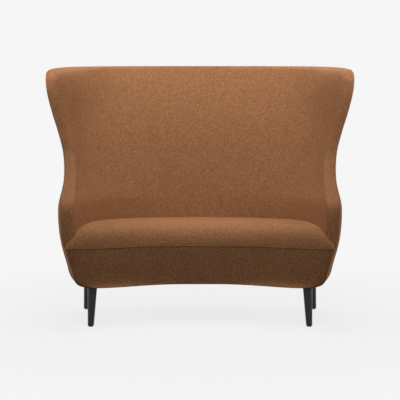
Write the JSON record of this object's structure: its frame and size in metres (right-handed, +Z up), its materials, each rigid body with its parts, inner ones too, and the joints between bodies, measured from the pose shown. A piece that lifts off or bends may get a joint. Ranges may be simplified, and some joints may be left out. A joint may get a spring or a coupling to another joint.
{
  "type": "wing sofa",
  "caption": "Fully upholstered high-backed wing sofa: one curved shell from arms to winged back, fixed crowned seat with an inward-curved front, tapered round legs.",
  "frame": {"origin": "on the floor, under the middle of the whole sofa", "axes": "X runs along the sofa, to the right as seen from the front; Y runs from the front to the back; Z is up"},
  "size_m": [1.552, 0.88, 1.3083],
  "materials": {
    "wool_fabric": "matt mottled caramel brown wool cloth",
    "foam": "open-cell upholstery foam",
    "fibre_wadding": "soft polyester wadding",
    "fibreboard": "thin hardboard, smooth",
    "beech_frame": "planed beech, unfinished",
    "plywood": "birch plywood, unfinished",
    "webbing": "woven elastic webbing",
    "hessian": "coarse jute cloth",
    "steel": "zinc plated",
    "leg_wood": "black stained wood, satin lacquer",
    "glide_plastic": "moulded nylon",
    "dust_cloth": "thin black non-woven cloth"
  },
  "bodies": {
    "root": {"leg_front_right": "leg_wood", "leg_front_left": "leg_wood", "leg_rear_right": "leg_wood", "leg_rear_left": "leg_wood", "floor_glides": "glide_plastic", "leg_bolts": "steel", "leg_inserts": "steel", "leg_board_right": "plywood", "leg_board_left": "plywood", "front_rail": "beech_frame", "side_rail_right": "beech_frame", "side_rail_left": "beech_frame", "rear_rail": "beech_frame", "cross_rails": "beech_frame", "front_corner_blocks": "beech_frame", "rear_corner_blocks": "beech_frame", "board_screws": "steel", "dust_cover": "dust_cloth", "seat_webbing_long": "webbing", "seat_webbing_cross": "webbing", "seat_hessian": "hessian", "seat_base_foam": "foam", "seat_pad_foam": "foam", "seat_cover": "wool_fabric", "seat_welt": "wool_fabric", "border_padding": "fibre_wadding", "border_cover": "wool_fabric", "edge_former_right": "plywood", "edge_former_left": "plywood", "arm_hoop": "plywood", "shoulder_hoop": "plywood", "top_hoop": "plywood", "side_post_right": "beech_frame", "side_post_left": "beech_frame", "rear_post_right": "beech_frame", "rear_post_left": "beech_frame", "centre_post_right": "beech_frame", "centre_post_left": "beech_frame", "back_webbing": "webbing", "inside_foam": "foam", "inside_cover": "wool_fabric", "outside_panel": "fibreboard", "outside_wadding": "fibre_wadding", "outside_cover": "wool_fabric", "edge_roll": "foam", "edge_facing": "wool_fabric", "edge_welt": "wool_fabric"}
  },
  "joints": []
}
